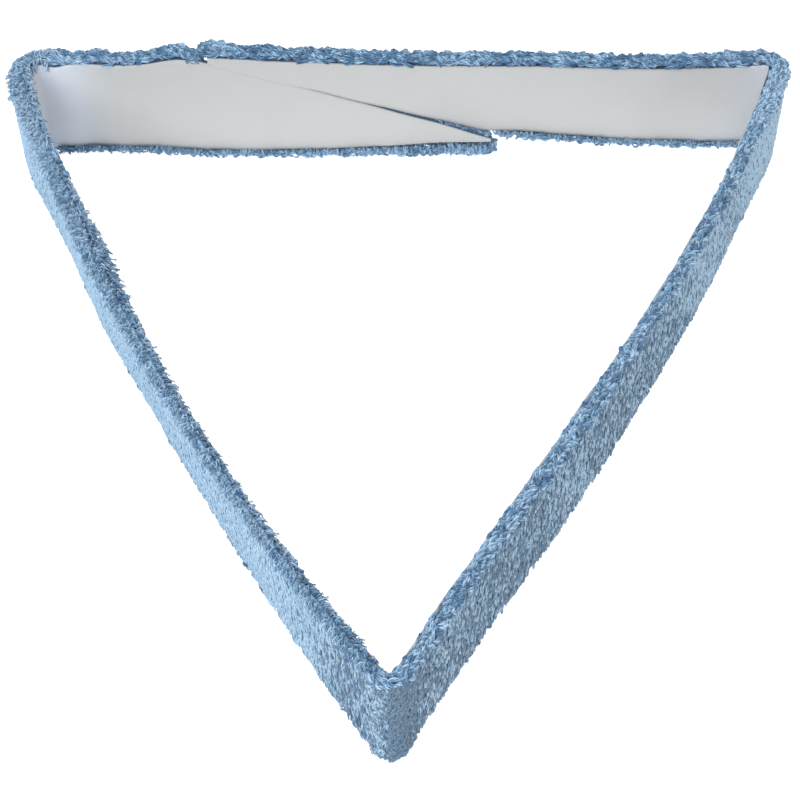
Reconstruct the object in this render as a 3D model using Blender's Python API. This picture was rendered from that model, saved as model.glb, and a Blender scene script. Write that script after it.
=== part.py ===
"""Triangular edge band of a steam mop head: one laminated strip standing on its long edge.

The strip is a white backing, a knitted ground cloth and a looped pile.  It runs counter-
clockwise, seen from above: from its pointed end in the middle of the back, round the left,
front and right folds, to its other pointed end.  The ends butt along a diagonal seam.
Metres, +Z up, -Y is the front corner.  The origin is under the middle of the ring's box.
"""

from math import ceil

import bmesh
import bpy
from mathutils import Vector

# The ring's plan, along the backing's inner face
BACK_WIDTH = 0.300
DEPTH = 0.290
FRONT_CORNER_X = -0.0034

# How far the soft sides bow out, as their curve's two handles
LEFT_BOW_REAR = 0.0180
LEFT_BOW_FRONT = 0.0205
RIGHT_BOW_REAR = 0.0200
RIGHT_BOW_FRONT = 0.0035
BACK_LEFT_BOW = 0.0025

# How far the foot of a run stands inside its top edge
LEFT_SIDE_LEAN = 0.0045
BACK_LEFT_LEAN = 0.0040
BACK_LEFT_TIP_LEAN = 0.0100

# The free ends are loose: the left end's tip foot swings back out, the right end's top sags
# in while its foot stands out, and it rides up a little where it rests on the left end
BACK_LEFT_TIP_FOOT = 0.0010
BACK_RIGHT_SAG = 0.0022
BACK_RIGHT_FOOT = 0.0012
BACK_RIGHT_TIP_FOOT = 0.0030
BACK_RIGHT_LIFT = 0.0026

# Heights: the backing's width, and how far the pile spreads past both of its cut edges
STRIP_WIDTH = 0.042
EDGE_PILE = 0.003

# Layer thicknesses, from the inside out
BACKING_THICKNESS = 0.0008
GROUND_CLOTH_THICKNESS = 0.0007
PILE_THICKNESS = 0.0041
LAYER_GAP = 0.0003

# Folds: strip that bends each side of a crease, and how sharp each crease is (0 round, 1 sharp)
FOLD_REACH = 0.006
FOLD_GAP = 0.0003
LEFT_FOLD_SHARPNESS = 0.60
FRONT_FOLD_SHARPNESS = 0.90
RIGHT_FOLD_SHARPNESS = 0.95

# The diagonal seam: from the left crease to its top end, its length along the strip, its gap
SEAM_START = 0.068
SEAM_RUN = 0.124
SEAM_GAP = 0.0006
TIP_HEIGHT = 0.0012

# Flat facets: how many along a side and round a fold, and how long they are along the back
SIDE_FACETS = 21
FOLD_FACETS = 10
BACK_FACET_LENGTH = 0.0085

PILE_TOP = STRIP_WIDTH + 2 * EDGE_PILE
BACKING_LOW = EDGE_PILE
BACKING_HIGH = EDGE_PILE + STRIP_WIDTH
GROUND_CLOTH_IN = BACKING_THICKNESS + LAYER_GAP
PILE_IN = GROUND_CLOTH_IN + GROUND_CLOTH_THICKNESS + LAYER_GAP
PILE_OUT = PILE_IN + PILE_THICKNESS

LAYERS = {
    # name: inner offset, outer offset, lowest, highest
    "backing": (0.0, BACKING_THICKNESS, BACKING_LOW, BACKING_HIGH),
    "ground_cloth": (GROUND_CLOTH_IN, GROUND_CLOTH_IN + GROUND_CLOTH_THICKNESS,
                     BACKING_LOW, BACKING_HIGH),
    "pile": (PILE_IN, PILE_OUT, 0.0, PILE_TOP),
}

LOOKS = {
    # name: colour, roughness
    "backing": ((0.60, 0.61, 0.63), 0.55),
    "ground_cloth": ((0.04, 0.11, 0.24), 0.90),
    "pile": ((0.19, 0.37, 0.62), 0.95),
}


class Station:
    """One upright section: the inner face's plan points at the top and the foot, and outward."""

    def __init__(self, top, foot, along, low_cut=None, high_cut=None, lift=0.0):
        self.top = Vector(top)
        self.foot = Vector(foot)
        self.along = Vector(along).normalized()
        self.out = Vector((self.along.y, -self.along.x))
        self.low_cut = low_cut
        self.high_cut = high_cut
        self.lift = lift

    def point(self, offset, height):
        share = (height - self.lift - BACKING_LOW) / STRIP_WIDTH
        plan = self.foot.lerp(self.top, share) + self.out * offset
        return Vector((plan.x, plan.y, height))


def curve_point(handles, t):
    """A point of the cubic curve with these four handles."""
    a, b, c, d = handles
    s = 1 - t
    return a * s ** 3 + b * 3 * s * s * t + c * 3 * s * t * t + d * t ** 3


def curve_direction(handles, t):
    a, b, c, d = handles
    s = 1 - t
    return (b - a) * s * s + (c - b) * 2 * s * t + (d - c) * t * t


def side_stations(start, finish, start_bow, finish_bow, lean):
    """Stations along a bowed side between two creases, short of both by the fold's reach."""
    chord = finish - start
    out = Vector((chord.y, -chord.x)).normalized()
    handles = (start, start + chord / 3 + out * start_bow,
               start + chord * 2 / 3 + out * finish_bow, finish)
    first = (FOLD_REACH + FOLD_GAP) / chord.length
    stations = []
    for step in range(SIDE_FACETS + 1):
        t = first + (1 - 2 * first) * step / SIDE_FACETS
        top = curve_point(handles, t)
        along = curve_direction(handles, t).normalized()
        inward = Vector((-along.y, along.x))
        stations.append(Station(top, top + inward * lean * 4 * t * (1 - t), along))
    return stations


def seam_height(x):
    """Height of the diagonal seam's middle at x."""
    return BACKING_HIGH - (x - SEAM_TOP_X) * STRIP_WIDTH / SEAM_RUN


def seam_x(height):
    return SEAM_TOP_X + (BACKING_HIGH - height) * SEAM_RUN / STRIP_WIDTH


def spread(first, last):
    """Places from first up to, not with, last, about a facet's length apart."""
    count = ceil(abs(last - first) / BACK_FACET_LENGTH)
    return [first + (last - first) * step / count for step in range(count)]


def back_left_stations():
    """The end that lies below the seam, from its point to the left fold."""
    crease_end = LEFT_CREASE.x + FOLD_REACH + FOLD_GAP
    tip = seam_x(EDGE_PILE + TIP_HEIGHT)
    bow_length = seam_x(BACKING_HIGH) - LEFT_CREASE.x
    places = spread(tip, seam_x(BACKING_HIGH))
    places.append(seam_x(BACKING_HIGH))
    places += spread(seam_x(PILE_TOP), crease_end)
    places.append(crease_end)
    stations = []
    for x in places:
        bow_share = (x - LEFT_CREASE.x) / bow_length
        bow = BACK_LEFT_BOW * max(0.0, 4 * bow_share * (1 - bow_share))
        share = max(0.0, (x - seam_x(BACKING_HIGH)) / (tip - seam_x(BACKING_HIGH)))
        lean = BACK_LEFT_LEAN + (BACK_LEFT_TIP_LEAN - BACK_LEFT_LEAN) * share
        foot = bow - BACK_LEFT_LEAN + (BACK_LEFT_LEAN - BACK_LEFT_TIP_FOOT) * share ** 2
        cut = seam_height(x) - SEAM_GAP / 2
        stations.append(Station((x, foot + lean), (x, foot), (-1, 0), high_cut=cut))
    return stations


def back_right_stations():
    """The end that lies above the seam, from the right fold to its point."""
    crease_end = RIGHT_CREASE.x - FOLD_REACH - FOLD_GAP
    tip = seam_x(BACKING_HIGH - TIP_HEIGHT)
    places = spread(crease_end, seam_x(0))
    places.append(seam_x(0))
    places += spread(seam_x(BACKING_LOW), tip)
    places.append(tip)
    stations = []
    for x in places:
        share = min(1.0, (crease_end - x) / (crease_end - seam_x(0))) ** 2
        foot = BACK_RIGHT_FOOT + (BACK_RIGHT_TIP_FOOT - BACK_RIGHT_FOOT) * share
        sag_share = (crease_end - x) / (crease_end - tip)
        sag = BACK_RIGHT_SAG * 4 * sag_share * (1 - sag_share)
        cut = seam_height(x) + SEAM_GAP / 2
        lift = BACK_RIGHT_LIFT * share
        stations.append(Station((x, -sag), (x, foot), (-1, 0), low_cut=cut, lift=lift))
    return stations


def crossing(station_a, station_b, level):
    """Where the inner face lines of two stations meet, at the top or at the foot."""
    a = getattr(station_a, level)
    b = getattr(station_b, level)
    step = station_a.along
    other = station_b.along
    cross = step.x * other.y - step.y * other.x
    gap = b - a
    return a + step * (gap.x * other.y - gap.y * other.x) / cross


def fold_stations(before, after, sharpness):
    """Stations round a fold, from the last station before it to the first one after it."""
    rows = {}
    for level in ("top", "foot"):
        start = getattr(before, level) + before.along * FOLD_GAP
        finish = getattr(after, level) - after.along * FOLD_GAP
        crease = crossing(before, after, level)
        rows[level] = (start, start.lerp(crease, sharpness), finish.lerp(crease, sharpness), finish)
    stations = []
    for step in range(FOLD_FACETS + 1):
        t = step / FOLD_FACETS
        top = curve_point(rows["top"], t)
        foot = curve_point(rows["foot"], t)
        stations.append(Station(top, foot, curve_direction(rows["top"], t)))
    return stations


def layer_heights(station, low, high):
    low += station.lift
    high += station.lift
    if station.low_cut is not None:
        low = max(low, station.low_cut)
    if station.high_cut is not None:
        high = min(high, station.high_cut)
    return low, high


def layer_mesh(name, stations, layer, pivot):
    """A closed wall of one layer through the stations, as a mesh around the pivot.

    Every layer's twisted facets are split along the same diagonal, so the gaps stay even.
    """
    inner, outer, low, high = LAYERS[layer]
    work = bmesh.new()
    rings = []
    for station in stations:
        bottom, top = layer_heights(station, low, high)
        corners = ((inner, bottom), (inner, top), (outer, top), (outer, bottom))
        rings.append([work.verts.new(station.point(*corner) - CENTRE - pivot) for corner in corners])
    for ring, following in zip(rings, rings[1:]):
        inner_low, inner_high, outer_high, outer_low = zip(ring, following)
        for a, b in ((inner_low, inner_high), (outer_low, outer_high),
                     (inner_low, outer_low), (inner_high, outer_high)):
            work.faces.new((a[0], b[0], b[1]))
            work.faces.new((a[0], b[1], a[1]))
    work.faces.new(rings[0])
    work.faces.new(rings[-1][::-1])
    bmesh.ops.recalc_face_normals(work, faces=work.faces)
    mesh = bpy.data.meshes.new(name)
    work.to_mesh(mesh)
    work.free()
    return mesh


def make_material(layer):
    colour, roughness = LOOKS[layer]
    material = bpy.data.materials.new(layer)
    material.use_nodes = True
    shader = material.node_tree.nodes["Principled BSDF"]
    shader.inputs["Base Color"].default_value = (*colour, 1.0)
    shader.inputs["Roughness"].default_value = roughness
    shader.inputs["Metallic"].default_value = 0.0
    return material


def make_axis(name, place, parent=None):
    """An empty on a fold's upright axis."""
    axis = bpy.data.objects.new(name, None)
    axis.empty_display_size = STRIP_WIDTH
    axis.location = place
    if parent:
        axis.parent = parent
        axis.location = place - world_place(parent)
    bpy.context.scene.collection.objects.link(axis)
    return axis


def world_place(axis):
    place = axis.location.copy()
    while axis.parent:
        axis = axis.parent
        place += axis.location
    return place


def make_layers(run, stations, axis):
    for layer in LAYERS:
        name = run + "_" + layer
        mesh = layer_mesh(name, stations, layer, world_place(axis))
        mesh.materials.append(MATERIALS[layer])
        piece = bpy.data.objects.new(name, mesh)
        piece.parent = axis
        bpy.context.scene.collection.objects.link(piece)


def fold_place(stations):
    """A fold's axis stands on the crease of the inner face, half way up."""
    middle = stations[len(stations) // 2]
    plan = middle.foot.lerp(middle.top, 0.5)
    return Vector((plan.x, plan.y, 0)) - CENTRE


def plan_centre(stations):
    """Middle of the box round the pile's outer face, on the floor."""
    points = [s.point(PILE_OUT, h) for s in stations for h in layer_heights(s, 0.0, PILE_TOP)]
    xs = [point.x for point in points]
    ys = [point.y for point in points]
    return Vector(((min(xs) + max(xs)) / 2, (min(ys) + max(ys)) / 2, 0))


for old in list(bpy.data.objects):
    bpy.data.objects.remove(old, do_unlink=True)

LEFT_CREASE = Vector((-BACK_WIDTH / 2, 0))
RIGHT_CREASE = Vector((BACK_WIDTH / 2, 0))
FRONT_CREASE = Vector((FRONT_CORNER_X, -DEPTH))
SEAM_TOP_X = LEFT_CREASE.x + SEAM_START

back_left = back_left_stations()
left_side = side_stations(LEFT_CREASE, FRONT_CREASE, LEFT_BOW_REAR, LEFT_BOW_FRONT, LEFT_SIDE_LEAN)
right_side = side_stations(FRONT_CREASE, RIGHT_CREASE, RIGHT_BOW_FRONT, RIGHT_BOW_REAR, 0.0)
back_right = back_right_stations()
left_fold = fold_stations(back_left[-1], left_side[0], LEFT_FOLD_SHARPNESS)
front_fold = fold_stations(left_side[-1], right_side[0], FRONT_FOLD_SHARPNESS)
right_fold = fold_stations(right_side[-1], back_right[0], RIGHT_FOLD_SHARPNESS)

CENTRE = plan_centre(back_left + left_fold + left_side + front_fold
                     + right_side + right_fold + back_right)
MATERIALS = {layer: make_material(layer) for layer in LAYERS}

left_side_axis = make_axis("left_side_frame", Vector((0, 0, 0)))
left_fold_axis = make_axis("left_fold_axis", fold_place(left_fold), left_side_axis)
front_fold_axis = make_axis("front_fold_axis", fold_place(front_fold), left_side_axis)
right_fold_axis = make_axis("right_fold_axis", fold_place(right_fold), front_fold_axis)

make_layers("left_side", left_side, left_side_axis)
make_layers("left_fold", left_fold, left_side_axis)
make_layers("front_fold", front_fold, left_side_axis)
make_layers("back_left_end", back_left, left_fold_axis)
make_layers("right_side", right_side, front_fold_axis)
make_layers("right_fold", right_fold, front_fold_axis)
make_layers("back_right_end", back_right, right_fold_axis)
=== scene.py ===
import functools
import math

import bpy
import numpy as np
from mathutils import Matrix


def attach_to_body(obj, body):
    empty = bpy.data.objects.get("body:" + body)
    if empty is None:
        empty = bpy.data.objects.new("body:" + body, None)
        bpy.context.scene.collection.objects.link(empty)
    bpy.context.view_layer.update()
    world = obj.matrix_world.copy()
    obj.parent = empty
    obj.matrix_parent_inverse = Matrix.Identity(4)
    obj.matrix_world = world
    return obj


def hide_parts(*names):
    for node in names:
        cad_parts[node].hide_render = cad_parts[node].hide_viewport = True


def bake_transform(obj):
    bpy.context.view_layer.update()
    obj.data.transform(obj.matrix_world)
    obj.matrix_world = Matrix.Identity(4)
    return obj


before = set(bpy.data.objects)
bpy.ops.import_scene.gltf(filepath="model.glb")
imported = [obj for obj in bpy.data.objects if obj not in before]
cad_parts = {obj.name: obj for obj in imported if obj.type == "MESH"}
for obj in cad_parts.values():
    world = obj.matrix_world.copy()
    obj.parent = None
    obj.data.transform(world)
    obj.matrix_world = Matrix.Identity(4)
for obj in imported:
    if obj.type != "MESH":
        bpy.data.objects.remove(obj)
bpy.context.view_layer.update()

scene = bpy.context.scene
scene.view_settings.view_transform = "Standard"


# Camera: in front of the ring and half above it, on a long lens.
camera = bpy.data.objects.new("camera", bpy.data.cameras.new("camera"))
scene.collection.objects.link(camera)
camera.location = (-0.0010, -0.4644, 0.5566)
camera.rotation_euler = (math.radians(40), 0, math.radians(-0.06))
camera.data.lens = 86.27
camera.data.clip_start = 0.01
scene.camera = camera


# Floor and lights: a plain white sweep that glows a little, so it stays white under the ring,
# an even white sky, one large soft lamp at the left of the camera, and a weak one overhead.
def linear(code):
    """An sRGB hex colour as the linear red, green, blue and alpha that sockets take."""
    parts = [int(code[i:i + 2], 16) / 255 for i in (1, 3, 5)]
    return [p / 12.92 if p <= 0.04045 else ((p + 0.055) / 1.055) ** 2.4 for p in parts] + [1]


HALF = 4
floor_mesh = bpy.data.meshes.new("floor")
floor_mesh.from_pydata([(-HALF, -HALF, 0), (HALF, -HALF, 0), (HALF, HALF, 0), (-HALF, HALF, 0)],
                       [], [(0, 1, 2, 3)])
floor = bpy.data.objects.new("floor", floor_mesh)
scene.collection.objects.link(floor)
floor_paint = bpy.data.materials.new("floor")
floor_paint.use_nodes = True
shader = floor_paint.node_tree.nodes["Principled BSDF"]
shader.inputs["Base Color"].default_value = linear("#c8c8c8")
shader.inputs["Roughness"].default_value = 1
shader.inputs["Emission Color"].default_value = (1, 1, 1, 1)
shader.inputs["Emission Strength"].default_value = 0.82
floor_mesh.materials.append(floor_paint)

world = bpy.data.worlds.new("sky")
scene.world = world
world.use_nodes = True
world.node_tree.nodes["Background"].inputs["Color"].default_value = linear("#f6f9ff")
world.node_tree.nodes["Background"].inputs["Strength"].default_value = 0.57
for name, stand, turn, size, watts in (
    ("key", (-0.5, -1.0, 0.9), (51, 0, -26.6), 0.9, 15.0),
    ("top", (0.1, 0.2, 1.4), (0, 0, 0), 1.0, 6.0),
):
    lamp = bpy.data.objects.new(name, bpy.data.lights.new(name, "AREA"))
    lamp.data.size = size
    lamp.data.energy = watts
    lamp.location = stand
    lamp.rotation_euler = [math.radians(a) for a in turn]
    scene.collection.objects.link(lamp)


# The strip: all layers follow one long strip, bent round a triangle and standing on its edge. Its
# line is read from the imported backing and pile, station by station, and joined into one smooth
# curve, so that all pieces meet exactly. A place on it is s along it, d out from its inner face
# and z up from the floor, all in metres.
RUNS = ("back_left_end", "left_fold", "left_side", "front_fold", "right_side", "right_fold",
        "back_right_end")
BACKING_THICK = 0.0008
PILE_OUTSIDE = 0.0062
YARN_LINE = 0.003  # how far out the strip's length is measured
TOP_EDGE = 0.045  # the backing's top edge, over the floor
HALF_UP = 0.024
TOUCHING = 0.0005


def corners(node):
    """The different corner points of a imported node."""
    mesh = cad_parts[node].data
    points = np.empty(len(mesh.vertices) * 3)
    mesh.vertices.foreach_get("co", points)
    return np.unique(points.reshape(-1, 3), axis=0)


def across_back(points, rows):
    """A back end's points, one row for each station, from its low corner up."""
    return points[np.lexsort((points[:, 2], -points[:, 0].round(5)))].reshape(-1, rows, 3)


def low_and_high(points, run, home):
    """A face's low and high corners, in order along the strip. Home is the way to its middle."""
    if run.startswith("back"):
        points = across_back(points, 2)
        return points[:, 0], points[:, 1]
    turn = (np.arctan2(points[:, 1], points[:, 0]) - home + math.pi) % (2 * math.pi)
    points = points[np.argsort(turn)]
    low = points[:, 2] < points[:, 2].mean()
    return points[low], points[~low]


# A station holds its inner face's low and high corners, the way out, and the pile's low and high.
# The backing's outer corners are the ones with a corner of the ground cloth right behind them.
stations = []
run_counts = []
for run in RUNS:
    backing, cloth = corners(run + "_backing"), corners(run + "_ground_cloth")
    apart = np.linalg.norm(backing[:, None] - cloth[None], axis=2)
    facing = apart.min(1) < TOUCHING
    outer = backing[facing]
    way_out = cloth[apart[facing].argmin(1)] - outer
    way_out /= np.linalg.norm(way_out, axis=1)[:, None]
    home = math.atan2(outer[:, 1].mean(), outer[:, 0].mean())
    low, high = low_and_high(outer - BACKING_THICK * way_out, run, home)
    outer_low, _ = low_and_high(outer, run, home)
    pile = corners(run + "_pile")
    if run.startswith("back"):
        pile = across_back(pile, 4)
        pile_low, pile_high = pile[:, 0, 2], pile[:, 3, 2]
    else:
        pile_low = np.full(len(low), pile[:, 2].min())
        pile_high = np.full(len(low), pile[:, 2].max())
    out = (outer_low - low) / BACKING_THICK
    stations.append(np.column_stack([low, high, out[:, :2], pile_low, pile_high]))
    run_counts.append(len(low))
stations = np.concatenate(stations)
middle = (stations[:, 0:2] + stations[:, 3:5]) / 2 + YARN_LINE * stations[:, 6:8]
station_s = np.concatenate([[0], np.cumsum(np.linalg.norm(np.diff(middle, axis=0), axis=1))])

# Each station's slope is a mean of its two neighbours', but where a long stretch meets a fold's
# short ones the long stretch's own slope holds, so that the straights stay straight.
gap = np.diff(station_s)[:, None]
slope = np.diff(stations, axis=0) / gap
tangent = np.empty_like(stations)
tangent[1:-1] = (gap[1:] * slope[:-1] + gap[:-1] * slope[1:]) / (gap[1:] + gap[:-1])
tangent[0], tangent[-1] = slope[0], slope[-1]
long_before = np.flatnonzero(gap[:-1, 0] > 3 * gap[1:, 0])
long_after = np.flatnonzero(gap[1:, 0] > 3 * gap[:-1, 0])
tangent[long_before + 1] = slope[long_before]
tangent[long_after + 1] = slope[long_after + 1]

# Each run's span is its first and last s. It ends half way to the next run's first station.
run_last = np.cumsum(run_counts) - 1
run_ends = np.concatenate([[0], (station_s[run_last[:-1]] + station_s[run_last[:-1] + 1]) / 2,
                           [station_s[-1]]])
span = {run: (run_ends[i], run_ends[i + 1]) for i, run in enumerate(RUNS)}
left_corner = sum(span["left_fold"]) / 2
front_corner = sum(span["front_fold"]) / 2
right_corner = sum(span["right_fold"]) / 2


def strip_at(s):
    """The inner face's low and high points, the way out, and backing's and pile's low and high."""
    i = np.clip(np.searchsorted(station_s, s) - 1, 0, len(station_s) - 2)
    step = (station_s[i + 1] - station_s[i])[..., None]
    f = (s - station_s[i])[..., None] / step
    a, b = stations[i], stations[i + 1]
    value = ((1 + 2 * f) * (1 - f) ** 2 * a + f * (1 - f) ** 2 * step * tangent[i]
             + f * f * (3 - 2 * f) * b + f * f * (f - 1) * step * tangent[i + 1])
    out = value[..., 6:8] / np.linalg.norm(value[..., 6:8], axis=-1)[..., None]
    flat = a + (b - a) * f
    return value[..., 0:3], value[..., 3:6], out, flat[..., [2, 5, 8, 9]]


def ahead(s):
    """The level way along the strip at each of a list of lengths."""
    out = strip_at(s)[2]
    return np.column_stack([-out[:, 1], out[:, 0], 0 * s])


def place(s, d, z):
    """Points of the strip at lengths s, distances d outward from its inner face, and heights z."""
    low, high, out, _ = strip_at(s)
    share = (z - low[..., 2]) / (high[..., 2] - low[..., 2])
    points = low + (high - low) * share[..., None]
    points[..., :2] += out * d[..., None]
    points[..., 2] = z
    return points


def near(s, centre, reach):
    """1 at the centre and falling smoothly to 0 a few reaches away."""
    return np.exp(-((s - centre) / reach) ** 2)


def sharpened(s):
    """How far out the inner face moves in the rear folds, so that the straights meet at a corner."""
    furthest = 0.0042
    move = np.zeros(np.shape(s))
    low, high, out, _ = strip_at(s)
    here = (low[..., :2] + high[..., :2]) / 2
    for fold, share in (("left_fold", 0.9), ("right_fold", 0.95)):
        middle_s = sum(span[fold]) / 2
        for end in span[fold]:
            edge_low, edge_high, away, _ = strip_at(np.array(end))
            edge = (edge_low[:2] + edge_high[:2]) / 2
            inside = (s - end) * (s - middle_s) <= 0
            reach = ((edge - here) @ away) / np.maximum(out @ away, 0.4)
            move = np.where(inside, share * np.clip(reach, 0, furthest), move)
    return move


# The seam: the back's two ends butt on a diagonal, from its start at the top edge down to the
# left end's point. The back is lifted a little there, where the strip is pulled together.
CUT_BELOW = 0.0448  # a top corner lower than this is on the cut
left_end_tops = stations[:run_counts[0], 5]
seam_start = float(station_s[:run_counts[0]][left_end_tops < CUT_BELOW].max())
seam_top_x = float(stations[:run_counts[0]][left_end_tops >= CUT_BELOW][0, 3])
seam_tip_x = float(stations[0, 0])


def lifted(s, points):
    """How far the back stands up from the floor, near its seam."""
    x, tall = points[..., 0], np.clip(points[..., 2] / TOP_EDGE, 0, 1)
    away = x - (seam_top_x + (seam_tip_x - seam_top_x) * (1 - tall))
    at_back = (s < left_corner - 0.02) | (s > right_corner + 0.02)
    reach = np.where(away > 0, 0.060, 0.045 - 0.033 * tall)
    return (0.0020 + 0.0008 * tall) * np.exp(-(away / reach) ** 2) * at_back


def relaxed(s, d, z, lift=1.0):
    """The strip's points with its left fold softened, and its back left top edge sunk a little."""
    soft = 0.0030 * near(s, left_corner - 0.003, 0.011)
    z = z - 0.0021 * near(s, left_corner - 0.030, 0.026) * (z / TOP_EDGE)
    d = d + 0.0026 * near(s, left_corner + 0.022, 0.040)
    steps = (-1, -0.67, -0.33, 0, 0.33, 0.67, 1)
    inside = np.clip(1 - d / PILE_OUTSIDE, 0, 1)
    points = sum(place(s + step * soft, d + inside * sharpened(s + step * soft), z) for step in steps)
    points = points / len(steps)
    points[..., 2] += lift * lifted(s, points)
    return points


# White backing: a smooth film bonded to thin felt, the face that lies against the mop head. It is
# one closed sheet for each run, 0.8 mm thick with softened edges. Satin. Over the rear folds its
# colour is painted lighter and bluer: painted light bounced from the blue pile into those corners.
def add_node(tree, kind, settings=(), inputs=()):
    """Adds a node. Settings are its own fields. Inputs are values or the sockets that feed it, by
    name or by place, such as 0 for a colour mix's factor and 6 and 7 for its two colours."""
    made = tree.nodes.new(kind)
    for field, value in dict(settings).items():
        setattr(made, field, value)
    for socket, value in dict(inputs).items():
        if isinstance(value, bpy.types.NodeSocket):
            tree.links.new(value, made.inputs[socket])
        else:
            made.inputs[socket].default_value = value
    return made


# The felt's grain, about 0.7 mm, prints through the film as faint bumps and uneven gloss.
film = bpy.data.materials.new("white_film")
film.use_nodes = True
tree = film.node_tree
shader = tree.nodes["Principled BSDF"]
spot = add_node(tree, "ShaderNodeTexCoord").outputs["Object"]
cloud = add_node(tree, "ShaderNodeTexNoise", {}, {"Vector": spot, "Scale": 45, "Detail": 3})
thin = add_node(tree, "ShaderNodeAttribute", {"attribute_name": "thin"})
base = add_node(tree, "ShaderNodeMix", {"data_type": "RGBA"},
                {0: cloud.outputs["Fac"], 6: linear("#b2b3b3"), 7: linear("#b8b9b8")})
# Painted light: the film turns lighter and bluer where light from the blue pile falls into the rear folds.
tint = add_node(tree, "ShaderNodeMix", {"data_type": "RGBA"},
                {0: thin.outputs["Fac"], 6: base.outputs[2], 7: linear("#ced4df")})
tree.links.new(tint.outputs[2], shader.inputs["Base Color"])
felt = add_node(tree, "ShaderNodeTexNoise", {}, {"Vector": spot, "Scale": 1400, "Detail": 4})
bump = add_node(tree, "ShaderNodeBump", {},
                {"Strength": 0.22, "Distance": 0.0003, "Height": felt.outputs["Fac"]})
tree.links.new(bump.outputs["Normal"], shader.inputs["Normal"])
gloss = add_node(tree, "ShaderNodeMapRange", {},
                 {"Value": felt.outputs["Fac"], "To Min": 0.42, "To Max": 0.6})
tree.links.new(gloss.outputs["Result"], shader.inputs["Roughness"])
shader.inputs["Specular IOR Level"].default_value = 0.35


def ripple(s, waves, seed):
    """A smooth uneven line, from -1 to 1 or so, made of a few waves of the given lengths."""
    dice = np.random.default_rng(seed)
    return sum(np.sin(s * 2 * math.pi / w + dice.uniform(0, 6.3)) for w in waves) / len(waves) ** 0.5


def lengths(run, step, fold_step):
    """Even places along a run, closer together in a fold."""
    first, last = span[run]
    count = max(3, math.ceil((last - first) / (fold_step if "fold" in run else step)))
    return np.linspace(first, last, count + 1)


def skin(name, s, section, edges, push=None, closed=False, lift=1.0):
    """A surface along the strip. Each section point is (outward, share of height, rise) from the
    backing's edges (0) or the pile's (2), and goes round anticlockwise, so faces look outward. Push
    then moves the points, and lift is how far they follow the back's rise near its seam."""
    if closed:
        beside_cap = 0.00004
        s = np.sort(np.concatenate([s, [s[0] + beside_cap, s[-1] - beside_cap]]))
    levels = strip_at(s)[3]
    d, share, rise = (np.array(column) for column in zip(*section))
    low, high = levels[:, edges, None], levels[:, edges + 1, None]
    z = low + share * (high - low) + rise
    grid_s = np.repeat(s[:, None], len(d), axis=1)
    d = np.repeat(d[None], len(s), axis=0)
    if push is not None:
        d, z = push(grid_s, d, z)
    points = relaxed(grid_s, d, z, lift)
    rows, columns = grid_s.shape
    number = np.arange(rows * columns).reshape(rows, columns)
    turned = np.roll(number, -1, axis=1) if closed else number[:, 1:]
    here = number if closed else number[:, :-1]
    quads = np.stack([here[:-1], here[1:], turned[1:], turned[:-1]], axis=-1).reshape(-1, 4).tolist()
    caps = [number[0].tolist(), number[-1][::-1].tolist()] if closed else []
    mesh = bpy.data.meshes.new(name)
    mesh.from_pydata(points.reshape(-1, 3).tolist(), [], quads + caps)
    flat = max(1, len(caps))  # the caps, or an open surface's last face
    smooth = len(quads) + len(caps) - flat
    mesh.polygons.foreach_set("use_smooth", [True] * smooth + [False] * flat)
    strip = mesh.attributes.new("strip", "FLOAT_VECTOR", "POINT")
    strip.data.foreach_set("vector", np.stack([grid_s, z, d], axis=-1).ravel())
    piece = bpy.data.objects.new(name, mesh)
    scene.collection.objects.link(piece)
    return piece


def strip_of(piece):
    """Length along the strip, height and outward distance of each vertex."""
    values = np.empty(len(piece.data.vertices) * 3)
    piece.data.attributes["strip"].data.foreach_get("vector", values)
    return values.reshape(-1, 3).T


def give(piece, name, values):
    """Stores a number, or a vector, for each vertex."""
    values = np.asarray(values, float)
    kind, field = ("FLOAT", "value") if values.ndim == 1 else ("FLOAT_VECTOR", "vector")
    piece.data.attributes.new(name, kind, "POINT").data.foreach_set(field, values.ravel())


def attach(piece, run):
    """Makes a piece ride on its run's body. A fold's piece stays in place, with its place baked into its
    mesh.
    """
    across = {"left_fold": ("back_left_end", "left_side"), "front_fold": ("left_side", "right_side"),
              "right_fold": ("right_side", "back_right_end")}
    if run in across:
        start, end = place(np.array(span[run]), np.zeros(2), np.full(2, HALF_UP))
        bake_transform(piece)
    else:
        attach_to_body(piece, run)


def backing_waves(s, d, z):
    """Soft hand-made unevenness of the white face, the ridge beside the left fold, and its dip."""
    wave = 0.00022 * ripple(s + 0.2 * z, (0.051, 0.083, 0.031), 5)
    ridge = -0.0004 * near(s, left_corner - 0.0125, 0.0045) + 0.0005 * near(s, left_corner - 0.022, 0.006)
    fade = 1 - near(s, right_corner, 0.004)
    dip = 0.0016 * near(s, left_corner - 0.0085, 0.0042) * np.clip((z - 0.035) / 0.01, 0, 1)
    sink = 0.0012 * np.clip((s - right_corner - 0.004) / 0.02, 0, 1) * np.clip(z / TOP_EDGE, 0, 1)
    return d + wave * fade + ridge, z - dip - sink


backing_section = ([(0.0, 1 - k / 28, 0) for k in range(29)]
                   + [(0.0002, 0, -0.0001), (0.0006, 0, -0.0001)]
                   + [(BACKING_THICK, k / 6, 0) for k in range(7)]
                   + [(0.0006, 1, 0.0001), (0.0002, 1, 0.0001)])
for run in RUNS:
    backing = skin(f"white_backing_{run}", lengths(run, 0.002, 0.0003), backing_section, 0, backing_waves,
                   closed=True)
    along, _, _ = strip_of(backing)
    # Painted bounce light, strongest in the left rear fold and weaker in the right one.
    fold_light_share = (0.95 * near(along, left_corner - 0.007, 0.017)
                 + 0.45 * near(along, right_corner + 0.003, 0.016))
    give(backing, "thin", np.clip(fold_light_share, 0, 1))
    backing.data.materials.append(film)
    attach(backing, run)
    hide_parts(run + "_backing")


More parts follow.
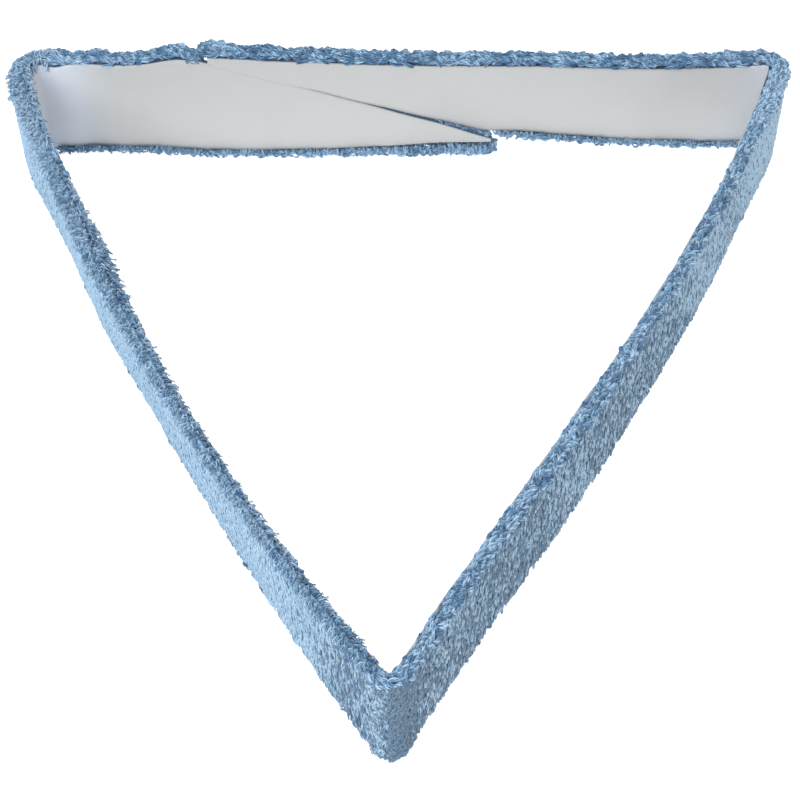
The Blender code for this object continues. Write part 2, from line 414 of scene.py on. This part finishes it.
# Ground cloth: a knit that holds the loops, bonded behind the film. It is dull navy, with fine
# upright ribs 0.8 mm apart and rows of stitches 0.6 mm apart, and little of it shows. Each run is
# one closed sheet, 0.7 mm thick.
CLOTH_INSIDE = 0.0011
CLOTH_OUTSIDE = 0.0018
knit = bpy.data.materials.new("navy_knit")
knit.use_nodes = True
tree = knit.node_tree
shader = tree.nodes["Principled BSDF"]
strip = add_node(tree, "ShaderNodeAttribute", {"attribute_name": "strip"})
ribs = add_node(tree, "ShaderNodeTexWave", {"bands_direction": "X"},
                {"Vector": strip.outputs["Vector"], "Scale": 400, "Distortion": 1.5, "Detail": 2})
rows = add_node(tree, "ShaderNodeTexWave", {"bands_direction": "Y"},
                {"Vector": strip.outputs["Vector"], "Scale": 500, "Distortion": 1.0, "Detail": 2})
stitch = add_node(tree, "ShaderNodeMath", {"operation": "MULTIPLY"},
                  {0: ribs.outputs["Fac"], 1: rows.outputs["Fac"]})
base = add_node(tree, "ShaderNodeMix", {"data_type": "RGBA"},
                {0: stitch.outputs[0], 6: linear("#2f4a66"), 7: linear("#53748f")})
tree.links.new(base.outputs[2], shader.inputs["Base Color"])
bump = add_node(tree, "ShaderNodeBump", {},
                {"Strength": 0.6, "Distance": 0.0003, "Height": stitch.outputs[0]})
tree.links.new(bump.outputs["Normal"], shader.inputs["Normal"])
shader.inputs["Roughness"].default_value = 0.9

cloth_section = ([(CLOTH_INSIDE, 1 - k / 8, 0.0004 - 0.0008 * k / 8) for k in range(9)]
                 + [(CLOTH_OUTSIDE, k / 8, -0.0004 + 0.0008 * k / 8) for k in range(9)])
for run in RUNS:
    cloth = skin(f"navy_cloth_{run}", lengths(run, 0.004, 0.0006), cloth_section, 0, backing_waves,
                 closed=True)
    cloth.data.materials.append(knit)
    attach(cloth, run)
    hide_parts(run + "_ground_cloth")


# Pile, lower part: microfibre loops packed so close that they read as one soft mat. It fills the
# space under the loops that are planted one by one. Dull light blue yarn, and no two loops of it
# take quite the same dye.
def yarn_material(name, dark, middle_tone, light, root_shade_colour, middle_at=0.45):
    """Split polyester microfibre: dull, with a soft sheen. Each loop has its own shade, and painted
    shade darkens it down at its root, where the pile shades itself. The dye drifts over patches 11 mm
    wide, and streaks 0.5 mm wide stand for the fibres, which are too fine to show."""
    made = bpy.data.materials.new(name)
    made.use_nodes = True
    tree = made.node_tree
    shader = tree.nodes["Principled BSDF"]
    spot = add_node(tree, "ShaderNodeTexCoord").outputs["Object"]
    shade = add_node(tree, "ShaderNodeAttribute", {"attribute_name": "shade"})
    tip = add_node(tree, "ShaderNodeAttribute", {"attribute_name": "tip"})
    patch = add_node(tree, "ShaderNodeTexNoise", {}, {"Vector": spot, "Scale": 90, "Detail": 2})
    drawn = add_node(tree, "ShaderNodeMapping", {}, {"Vector": spot, "Scale": (1, 1, 0.3)})
    fibre = add_node(tree, "ShaderNodeTexNoise", {},
                     {"Vector": drawn.outputs["Vector"], "Scale": 1900, "Detail": 3})
    speck = add_node(tree, "ShaderNodeMath", {"operation": "MULTIPLY_ADD"},
                     {0: fibre.outputs["Fac"], 1: 1.1, 2: -0.8})
    mixed = add_node(tree, "ShaderNodeMath", {"operation": "MULTIPLY_ADD"},
                     {0: patch.outputs["Fac"], 1: 0.5, 2: speck.outputs[0]})
    total = add_node(tree, "ShaderNodeMath", {"operation": "ADD"},
                     {0: mixed.outputs[0], 1: shade.outputs["Fac"]})
    ramp = add_node(tree, "ShaderNodeValToRGB", {}, {"Fac": total.outputs[0]})
    ramp.color_ramp.elements[0].color = linear(dark)
    ramp.color_ramp.elements[1].color = linear(light)
    ramp.color_ramp.elements[0].position = 0.05
    ramp.color_ramp.elements[1].position = 0.95
    ramp.color_ramp.elements.new(middle_at).color = linear(middle_tone)
    # Painted shade: each loop takes the root colour down at its root, where the pile shades it.
    root_shaded = add_node(tree, "ShaderNodeMix", {"data_type": "RGBA"},
                    {0: tip.outputs["Fac"], 6: linear(root_shade_colour), 7: ramp.outputs["Color"]})
    tree.links.new(root_shaded.outputs[2], shader.inputs["Base Color"])
    bump = add_node(tree, "ShaderNodeBump", {},
                    {"Strength": 0.5, "Distance": 0.00015, "Height": fibre.outputs["Fac"]})
    tree.links.new(bump.outputs["Normal"], shader.inputs["Normal"])
    shader.inputs["Roughness"].default_value = 0.78
    shader.inputs["Specular IOR Level"].default_value = 0.25
    shader.inputs["Sheen Weight"].default_value = 0.25
    shader.inputs["Sheen Roughness"].default_value = 0.5
    return made


# Each yarn's last colour is the painted shade at the loops' roots.
bed_yarn = yarn_material("bed_yarn", "#4f708b", "#8eb0ca", "#a9c9df", "#6d95b4", 0.3)

# Where the pile stands out further or less than on the straights: its middle, reach and amount.
SWELLS = ((left_corner + 0.010, 0.030, 0.0030), (left_corner + 0.075, 0.050, 0.0018),
          (left_corner + 0.115, 0.030, 0.0018), (right_corner - 0.008, 0.028, 0.0038),
          (front_corner - 0.09, 0.05, -0.0008), (front_corner + 0.115, 0.04, 0.0012))


def swell(s, d):
    """How far out the pile's outside moves, which is most at the rear corners."""
    more = sum(amount * near(s, at, reach) for at, reach, amount in SWELLS)
    return more * np.clip((d - 0.002) / 0.0035, 0, 1)


def front_groove(s, d, z):
    """The valley that the pile's outside folds into at the front corner. It splays out at the floor."""
    up = np.clip(z / 0.022, 0, 1)
    return (0.0036 * up - 0.0020) * near(s, front_corner, 0.0055) * (d > 0.003)


def bed_lumps(s, d, z):
    """The bed's uneven outside, with the swells and the front valley."""
    lump = 0.00025 * ripple(s, (0.007, 0.011, 0.0045), 8) * (d > 0.003)
    return d + lump - front_groove(s, d, z) + swell(s, d), z


def face_tone_and_painted_light(s):
    """How light the outer face is: lighter on the left and greyer on the right as painted light from
    the left, a dark painted shadow in the valley in front, and paler at the rear.
    """
    right = (s > front_corner) * np.clip((right_corner - 0.08 - s) / 0.08, 0, 1)
    left = (s < front_corner) * (0.35 + 0.2 * np.clip((left_corner + 0.12 - s) / 0.06, 0, 1))
    return (0.5 + left - 0.42 * right + 0.4 * near(s, right_corner - 0.02, 0.03)
            - 0.75 * near(s, front_corner - 0.020, 0.016) - 1.1 * near(s, front_corner, 0.009))


BED_INSIDE = 0.0021
BED_OUTSIDE = 0.0049
bed_section = ([(BED_INSIDE, 1 - k / 6, -0.0022 + 0.0044 * k / 6) for k in range(7)]
               + [(0.003, 0, 0.0014), (0.0042, 0, 0.0016)]
               + [(BED_OUTSIDE, k / 10, 0.0026 - 0.0052 * k / 10) for k in range(11)]
               + [(0.0042, 1, -0.0016), (0.003, 1, -0.0014)])
pile_pieces = {}
for run in RUNS:
    bed = skin(f"pile_bed_{run}", lengths(run, 0.0025, 0.0008), bed_section, 2, bed_lumps, closed=True)
    along, height, _ = strip_of(bed)
    # The bed is the pile's shaded lower part, so it takes 40% of the painted root shade all over.
    give(bed, "tip", np.full(len(along), 0.6))
    # The bed's shade carries the outer face's painted light and shade, plus a little random tone.
    give(bed, "shade", face_tone_and_painted_light(along) + 0.1 * ripple(along * 3 + height, (0.02, 0.033), 4))
    bed.data.materials.append(bed_yarn)
    attach(bed, run)
    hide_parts(run + "_pile")
    pile_pieces[run] = [bed]


# Pile, outer face: loops of 0.6 mm yarn pressed flat by use, as hairpins that hang down and lean
# towards the front corner. Geometry Nodes plant them over a base surface just inside the bed's
# outside. On the front fold they are smaller, closer and more tangled.
def yarn_loop(name, lines, radius, sides, end_radius=1.0):
    """Tubes along lines of points, with a number that is 0 at the root and 1 at the crown: how far
    each point is out of the painted root shade. Every other strand's number is held lower.
    """
    rings, faces, strand = [], [], []
    for which, line in enumerate(lines):
        way = np.gradient(line, axis=0)
        way /= np.linalg.norm(way, axis=1)[:, None]
        across = np.cross(way[0], (0.13, 0.31, 0.94))
        first = len(rings)
        for i, point in enumerate(line):
            across = across - way[i] * across.dot(way[i])
            across /= np.linalg.norm(across)
            other = np.cross(way[i], across)
            share = i / (len(line) - 1)
            wide = radius * (1 + (end_radius - 1) * share)
            for k in range(sides):
                a = 2 * math.pi * k / sides
                rings.append(point + wide * (across * math.cos(a) + other * math.sin(a)))
                strand.append(which)
        number = first + np.arange(len(line) * sides).reshape(-1, sides)
        onward = np.roll(number, -1, axis=1)
        walls = np.stack([number[:-1], onward[:-1], onward[1:], number[1:]], axis=-1)
        faces += walls.reshape(-1, 4).tolist()
        faces += [number[0][::-1].tolist(), number[-1].tolist()]
    mesh = bpy.data.meshes.new(name)
    mesh.from_pydata([tuple(p) for p in rings], [], faces)
    mesh.polygons.foreach_set("use_smooth", [True] * len(faces))
    loop = bpy.data.objects.new(name, mesh)
    rise = np.array([p[2] for p in rings])
    crown = np.clip((rise + 0.0003) / (rise.max() + 0.0003), 0, 1) ** 0.7
    give(loop, "tip", crown * (1 - 0.3 * (np.array(strand) % 2)))
    return loop


def loop_set(name, loops):
    """A collection of loops for the planting to pick from."""
    group = bpy.data.collections.new(name)
    for loop in loops:
        group.objects.link(loop)
    return group


MM = 0.001
TUBE_SIDES = 3
YARN_RADIUS = 0.0003
u = np.linspace(0, 1, 6)
# Each hairpin's bow, how far its legs cross, and its length, in millimetres.
hairpins = []
for k, (bend, cross, long) in enumerate(((0.2, 0, 3.8), (-0.4, 0.2, 4.6),
                                         (0.5, 0.9, 4.2), (0, 0.5, 3.2))):
    x = long * (0.5 - np.abs(u - 0.5) * 2)
    y = 0.45 * np.sin(2 * math.pi * u) * (1 - cross) + 0.2 * cross * np.sin(4 * math.pi * u) \
        + bend * (x / long) ** 2
    z = -0.5 + 0.92 * np.sin(math.pi * u) ** 0.5
    hairpins.append(yarn_loop(f"hairpin_{k}", [np.column_stack([x, y, z]) * MM], YARN_RADIUS, TUBE_SIDES))
flat_loops = loop_set("flat_loops", hairpins)

# The planting: points over the base, as dense as asked and as its cover says. Each loop is turned
# to the base's lay, tumbled, sized by its growth and given its own shade, and all become one mesh.
planting = bpy.data.node_groups.new("plant_loops", "GeometryNodeTree")
socket = {}
for name, kind in (("Geometry", "Geometry"), ("Loops", "Collection"), ("Density", "Float"), ("Seed", "Int"),
                   ("Smallest", "Float"), ("Largest", "Float"), ("Tumble", "Float"), ("Turn", "Float"),
                   ("Yarn", "Material")):
    socket[name] = planting.interface.new_socket(name, in_out="INPUT", socket_type=f"NodeSocket{kind}")
planting.interface.new_socket("Geometry", in_out="OUTPUT", socket_type="NodeSocketGeometry")
given = add_node(planting, "NodeGroupInput").outputs
cover, grow, tone = (
    add_node(planting, "GeometryNodeInputNamedAttribute", {"data_type": "FLOAT"}, {"Name": name})
    for name in ("cover", "grow", "tone"))
lay = add_node(planting, "GeometryNodeInputNamedAttribute", {"data_type": "FLOAT_VECTOR"}, {"Name": "lay"})
density = add_node(planting, "ShaderNodeMath", {"operation": "MULTIPLY"},
                   {0: given["Density"], 1: cover.outputs["Attribute"]})
points = add_node(planting, "GeometryNodeDistributePointsOnFaces", {"distribute_method": "RANDOM"},
                  {"Mesh": given["Geometry"], "Density": density.outputs[0], "Seed": given["Seed"]})
upright = add_node(planting, "FunctionNodeAlignRotationToVector", {"axis": "Z"},
                   {"Vector": points.outputs["Normal"]})
aligned = add_node(planting, "FunctionNodeAlignRotationToVector", {"axis": "X", "pivot_axis": "Z"},
                   {"Rotation": upright.outputs[0], "Vector": lay.outputs["Attribute"]})
swing = []
for seed, most in ((3, "Tumble"), (4, "Tumble"), (5, "Turn")):
    least = add_node(planting, "ShaderNodeMath", {"operation": "MULTIPLY"}, {0: given[most], 1: -1.0})
    swing.append(add_node(planting, "FunctionNodeRandomValue", {"data_type": "FLOAT"},
                          {2: least.outputs[0], 3: given[most], "Seed": seed}))
angles = add_node(planting, "ShaderNodeCombineXYZ", {}, {k: swing[k].outputs[1] for k in range(3)})
turned = add_node(planting, "FunctionNodeEulerToRotation", {}, {0: angles.outputs[0]})
tumbled = add_node(planting, "FunctionNodeRotateRotation", {"rotation_space": "LOCAL"},
                   {0: aligned.outputs[0], 1: turned.outputs[0]})
size = add_node(planting, "FunctionNodeRandomValue", {"data_type": "FLOAT"},
                {2: given["Smallest"], 3: given["Largest"], "Seed": 9})
scale = add_node(planting, "ShaderNodeMath", {"operation": "MULTIPLY"},
                 {0: size.outputs[1], 1: grow.outputs["Attribute"]})
variants = add_node(planting, "GeometryNodeCollectionInfo", {},
                    {"Collection": given["Loops"], "Separate Children": True, "Reset Children": True})
# The index of a loop wraps round, so any number from 0 to 11 picks one of the four.
pick = add_node(planting, "FunctionNodeRandomValue", {"data_type": "INT"}, {4: 0, 5: 11, "Seed": 12})
planted = add_node(planting, "GeometryNodeInstanceOnPoints", {},
                   {"Points": points.outputs["Points"], "Instance": variants.outputs[0],
                    "Pick Instance": True, "Instance Index": pick.outputs[2],
                    "Rotation": tumbled.outputs[0], "Scale": scale.outputs[0]})
chance = add_node(planting, "FunctionNodeRandomValue", {"data_type": "FLOAT"}, {2: -0.5, 3: 0.5, "Seed": 21})
shade = add_node(planting, "ShaderNodeMath", {"operation": "ADD"},
                 {0: chance.outputs[1], 1: tone.outputs["Attribute"]})
shaded = add_node(planting, "GeometryNodeStoreNamedAttribute", {"data_type": "FLOAT", "domain": "INSTANCE"},
                  {"Geometry": planted.outputs[0], "Name": "shade", "Value": shade.outputs[0]})
real = add_node(planting, "GeometryNodeRealizeInstances", {}, {"Geometry": shaded.outputs[0]})
dyed = add_node(planting, "GeometryNodeSetMaterial", {},
                {"Geometry": real.outputs[0], "Material": given["Yarn"]})
add_node(planting, "NodeGroupOutput", {}, {"Geometry": dyed.outputs[0]})


def plant(base, name, loops, per_mm2, seed, sizes, tumble, turn, yarn, least_tip=0.0):
    """Scatters loops over a base surface and returns them as one plain mesh. The base is removed."""
    modifier = base.modifiers.new("planting", "NODES")
    modifier.node_group = planting
    values = {"Loops": loops, "Density": per_mm2 * 1e6, "Seed": seed, "Smallest": sizes[0],
              "Largest": sizes[1], "Tumble": math.radians(tumble), "Turn": math.radians(turn), "Yarn": yarn}
    for key, value in values.items():
        modifier[socket[key].identifier] = value
    base.update_tag()
    bpy.context.view_layer.update()
    ready = base.evaluated_get(bpy.context.evaluated_depsgraph_get())
    mesh = bpy.data.meshes.new_from_object(ready)
    mesh.name = name
    for extra in ("lay", "cover", "grow", "tone", "strip"):
        if extra in mesh.attributes:
            mesh.attributes.remove(mesh.attributes[extra])
    # Loops can be held out of the painted root shade, down to a least share.
    tips = np.empty(len(mesh.vertices))
    mesh.attributes["tip"].data.foreach_get("value", tips)
    mesh.attributes["tip"].data.foreach_set("value", np.maximum(tips, least_tip))
    just_above_floor = 0.0002
    spots = np.empty(len(mesh.vertices) * 3)
    mesh.vertices.foreach_get("co", spots)
    spots[2::3] = np.maximum(spots[2::3], just_above_floor)
    mesh.vertices.foreach_set("co", spots)
    piece = bpy.data.objects.new(name, mesh)
    scene.collection.objects.link(piece)
    bpy.data.objects.remove(base)
    return piece


def pile_outside(s, d, z):
    """Moves a base surface with the pile's swells and front valley."""
    return d + swell(s, d) - front_groove(s, d, z), z


# The last colour is the painted shade at the roots.
face_yarn = yarn_material("face_yarn", "#4f708b", "#a0c1da", "#b4d2e8", "#6a93b3", 0.25)
FACE_ROOTS = 0.0051
FACE_LEAN = 0.33
face_section = [(FACE_ROOTS, k / 12, 0.002 - 0.0045 * k / 12) for k in range(13)]
for index, run in enumerate(RUNS):
    folded = run == "front_fold"
    base = skin(f"face_base_{run}", lengths(run, 0.004, 0.001), face_section, 2, pile_outside)
    along, height, _ = strip_of(base)
    valley = near(along, front_corner, 0.009)
    to_front = np.where(along < front_corner, 1.0, -1.0)[:, None]
    give(base, "lay", np.array([0, 0, -1.0]) + FACE_LEAN * to_front * ahead(along))
    give(base, "cover", 1 - 0.2 * valley)
    give(base, "grow", 1 + 0.06 * ripple(along, (0.02, 0.037), 3) + 0.1 * valley)
    # The tone carries the painted light and shade of the outer face, plus random drift.
    give(base, "tone", face_tone_and_painted_light(along) + 0.12 * ripple(along + 0.5 * height, (0.06, 0.11), 6)
         + 0.25 * folded)
    per_mm2, sizes, tumble, turn = (1.25, (0.6, 1.0), 16, 50) if folded else (0.42, (0.75, 1.15), 6, 20)
    face_loops = plant(base, f"face_loops_{run}", flat_loops, per_mm2, 40 + index, sizes, tumble, turn,
                       face_yarn)
    attach(face_loops, run)
    pile_pieces[run].append(face_loops)


# Pile, top edge: loops that spring up past the cut edge, so they show their full light and dark.
# Most lie along the edge as loose three-strand bundles, like a braid. On the left side the pile
# parts down its middle, and two-strand bundles fan out over both faces.
def strands_round(line, count, spread, turns):
    """Lines wound loosely round one line, which runs mostly along x."""
    u = np.linspace(0, 1, len(line))
    angles = [2 * math.pi * (k / count + turns * u) for k in range(count)]
    return [line + spread * np.column_stack([0 * u, np.cos(a), np.sin(a)]) for a in angles]


# Each bundle's width, height and lean in millimetres, and how many turns its strands wind.
BUNDLE_SPREAD = 0.0004
BUNDLE_YARN = 0.00028
arcs = []
for k, (wide, tall, lean, turns) in enumerate(((4.4, 1.7, 0.5, 0.3), (3.6, 2.0, -0.6, 0.5),
                                               (5.2, 1.5, 0.9, 0.35), (3.0, 2.3, -0.3, 0.6))):
    line = np.column_stack([wide * (u - 0.5), lean * 4 * u * (1 - u),
                            tall * np.sin(math.pi * u) ** 0.8 - 0.7])
    strands = strands_round(line * MM, 3, BUNDLE_SPREAD, turns)
    arcs.append(yarn_loop(f"arc_{k}", strands, BUNDLE_YARN, TUBE_SIDES))
arc_loops = loop_set("arc_loops", arcs)

# Each fanned bundle's reach, height and bend in millimetres. Its strands thin towards their ends.
FAN_SPREAD = 0.00034
FAN_END = 0.6
fans = []
for k, (reach, tall, bend) in enumerate(((3.4, 1.5, 0.5), (2.7, 2.0, -0.6),
                                         (4.2, 1.2, 0.9), (2.2, 2.5, 0.2))):
    line = np.column_stack([reach * u ** 1.2 - 0.4, bend * u ** 2, tall * np.sin(2.5 * u) - 0.5])
    strands = strands_round(line * MM, 2, FAN_SPREAD, 0.5)
    fans.append(yarn_loop(f"fan_{k}", strands, YARN_RADIUS, TUBE_SIDES, FAN_END))
fan_loops = loop_set("fan_loops", fans)

# The last colour, the darkest, is the painted shade at the roots.
edge_yarn = yarn_material("edge_yarn", "#557fa3", "#8fb5d3", "#b9daf2", "#37618a")
# Tufts stand up at these places across the back, and a few are left along the diagonal cut. The
# left side's pile parts at its middle, this far out from the inner face.
TUFTS = (-0.124, -0.089, -0.055, -0.027, 0.071)
TUFT_RISE = 0.0012
CUT_TUFTS = ((seam_tip_x - 0.036, 0.0016), (-0.041, 0.0016), (0.0, 0.0018))
CUT_START = seam_start - 0.011
CUT_PILE_BELOW = 0.0445
PILE_TOP = 0.0480
PARTING = 0.0031
LARGEST_GROWTH = 1.45


def cut_away(levels, s):
    """Where the left end's top is the diagonal cut, and its pile is gone."""
    return (levels[..., 3] < CUT_PILE_BELOW) & (s < CUT_START)


def top_shape(run, s, d, z):
    """Follows the pile's top, leans it, raises its tufts, and drops to the cut on the diagonal."""
    side = np.clip((s - left_corner) / 0.02, 0, 1) * np.clip((right_corner - s) / 0.02, 0, 1)
    lean = 0.0004 * side - 0.0003 * np.clip((s - right_corner) / 0.01, 0, 1)
    lean += 0.0014 * near(s, right_corner - 0.012, 0.018) - 0.0018 * near(s, left_corner + 0.115, 0.022)
    low, _, _, levels = strip_at(s)
    if run == "back_left_end":
        on_cut = cut_away(levels, s)
        z = np.where(on_cut, levels[..., 1] + 0.0002 - 0.1 * d, np.where(s < seam_start, PILE_TOP, z))
        z = z + 0.0016 * near(s, seam_start, 0.017) * ~on_cut
    if run.startswith("back"):
        z = z + TUFT_RISE * sum(near(low[..., 0], tuft, 0.004) for tuft in TUFTS)
    return d + lean * (1 - (d - 0.001) / 0.006) + swell(s, d), z


top_section = [(0.0050, 1, -0.0027), (0.0043, 1, -0.0018), (PARTING, 1, -0.0017), (0.0020, 1, -0.0021),
               (0.0012, 1, -0.0028)]
TOP_TONE = {"back_left_end": 0.42, "left_fold": 0.6, "left_side": 0.5, "front_fold": 0.45,
            "right_side": 0.5, "right_fold": 0.45, "back_right_end": 0.32}
for index, run in enumerate(RUNS):
    base = skin(f"top_base_{run}", lengths(run, 0.002, 0.0008), top_section, 2,
                functools.partial(top_shape, run))
    along, _, distance = strip_of(base)
    low, _, out, levels = strip_at(along)
    outer_side = distance > PARTING
    fanned = run in ("left_fold", "left_side")
    if fanned:
        apart = np.where(outer_side, 1.0, -1.0)[:, None]
        give(base, "lay", apart * np.column_stack([out, 0 * along]) + 0.5 * ahead(along))
    else:
        give(base, "lay", ahead(along))

    on_cut = cut_away(levels, along)
    cut_cover = np.zeros(len(along))
    if run.startswith("back"):
        for tuft, reach in CUT_TUFTS:
            cut_cover += 0.8 * near(low[:, 0], tuft, reach)
        cut_cover += 2.4 * np.clip((low[:, 0] - seam_tip_x + 0.024) / 0.004, 0, 1)
    give(base, "cover", np.where(on_cut, cut_cover, 1 + 1.2 * near(along, seam_start - 0.003, 0.009)))

    growth = 1.0 + 0.14 * ripple(along, (0.006, 0.0095, 0.017), 14 + index)
    growth *= 1 - 0.12 * near(along, seam_start + 0.004, 0.008)
    if fanned:
        growth *= np.where(outer_side, 0.78, 1.0)
    elif run.startswith("back"):
        growth *= 1.2
    give(base, "grow", np.where(on_cut, 0.5, np.minimum(growth, LARGEST_GROWTH)))
    give(base, "tone", TOP_TONE[run] + 0.16 * ripple(along, (0.009, 0.014, 0.05), 17)
         + 0.45 * near(along, left_corner + 0.03, 0.03) + 0.45 * near(along, right_corner - 0.022, 0.024))

    if fanned:
        loops, per_mm2, sizes, tumble, turn = fan_loops, 1.6, (0.75, 1.15), 25, 38
    else:
        loops, per_mm2, sizes, tumble, turn = arc_loops, 1.0, (0.7, 1.15), 32, 42 if index == 0 else 38
    top_loops = plant(base, f"top_loops_{run}", loops, per_mm2, 60 + index, sizes, tumble, turn, edge_yarn)
    attach(top_loops, run)
    pile_pieces[run].append(top_loops)


# Pile, bottom edge: the same three-strand bundles, squashed on the floor and spread out under the
# backing. The back's end over the seam is held up a little, and its fringe hangs with it.
under_sides = [(-0.0012, 0, 0.0031), (-0.0004, 0, 0.0021)]
under_back = [(-0.0026, 0, 0.0019), (-0.0016, 0, 0.0027), (-0.0006, 0, 0.0023)]
under_outside = [(0.0008, 0, 0.0014), (0.0024, 0, 0.0013), (0.0040, 0, 0.0018), (0.0048, 0, 0.0026)]
ON_FLOOR = 0.0035  # where the pile's foot is higher than this, it is on the cut and has no fringe
for index, run in enumerate(RUNS):
    at_back = run.startswith("back")
    base = skin(f"under_base_{run}", lengths(run, 0.002, 0.0008),
                (under_back if at_back else under_sides) + under_outside, 2, pile_outside,
                lift=0.6 if run == "back_right_end" else 0.0)
    along, _, _ = strip_of(base)
    levels = strip_at(along)[3]
    give(base, "lay", ahead(along))
    give(base, "cover", np.where(levels[:, 2] > ON_FLOOR, 0, 1))
    tip_growth = 0.35 * near(along, 0, 0.012) + 0.25 * near(along, 0.02, 0.04)
    give(base, "grow", 0.9 + 0.15 * ripple(along, (0.008, 0.013, 0.021), 24 + index) + tip_growth)
    give(base, "tone", (0.5 if at_back else 0.4) + 0.14 * ripple(along, (0.009, 0.014, 0.05), 27))
    # Loops that lie spread on the floor get little of the painted root shade.
    low_loops = plant(base, f"low_loops_{run}", arc_loops, 0.8 if at_back else 0.45, 80 + index,
                      (0.65, 1.0), 25, 45, edge_yarn, least_tip=0.8)
    attach(low_loops, run)
    pile_pieces[run].append(low_loops)


# Cut sizes: backing and ground cloth are cut from one 42 mm wide strip. Each run is as long as its
# own middle line, and the back's two ends lose what the diagonal cuts off.
BACKING_MIDDLE = 0.0004
CLOTH_MIDDLE = 0.00145
SHORTEST = 0.01
POINTS = 400
for run in RUNS:
    fine = np.linspace(*span[run], POINTS)
    levels = strip_at(fine)[3]
    for sheet, d, behind, loops in (
        (f"white_backing_{run}", BACKING_MIDDLE, f"navy_cloth_{run}", []),
        (f"navy_cloth_{run}", CLOTH_MIDDLE, f"pile_bed_{run}", pile_pieces[run]),
    ):
        line = relaxed(fine, np.full(POINTS, d), np.full(POINTS, HALF_UP))
        long = max(SHORTEST, float(np.linalg.norm(np.diff(line, axis=0), axis=1).sum()))
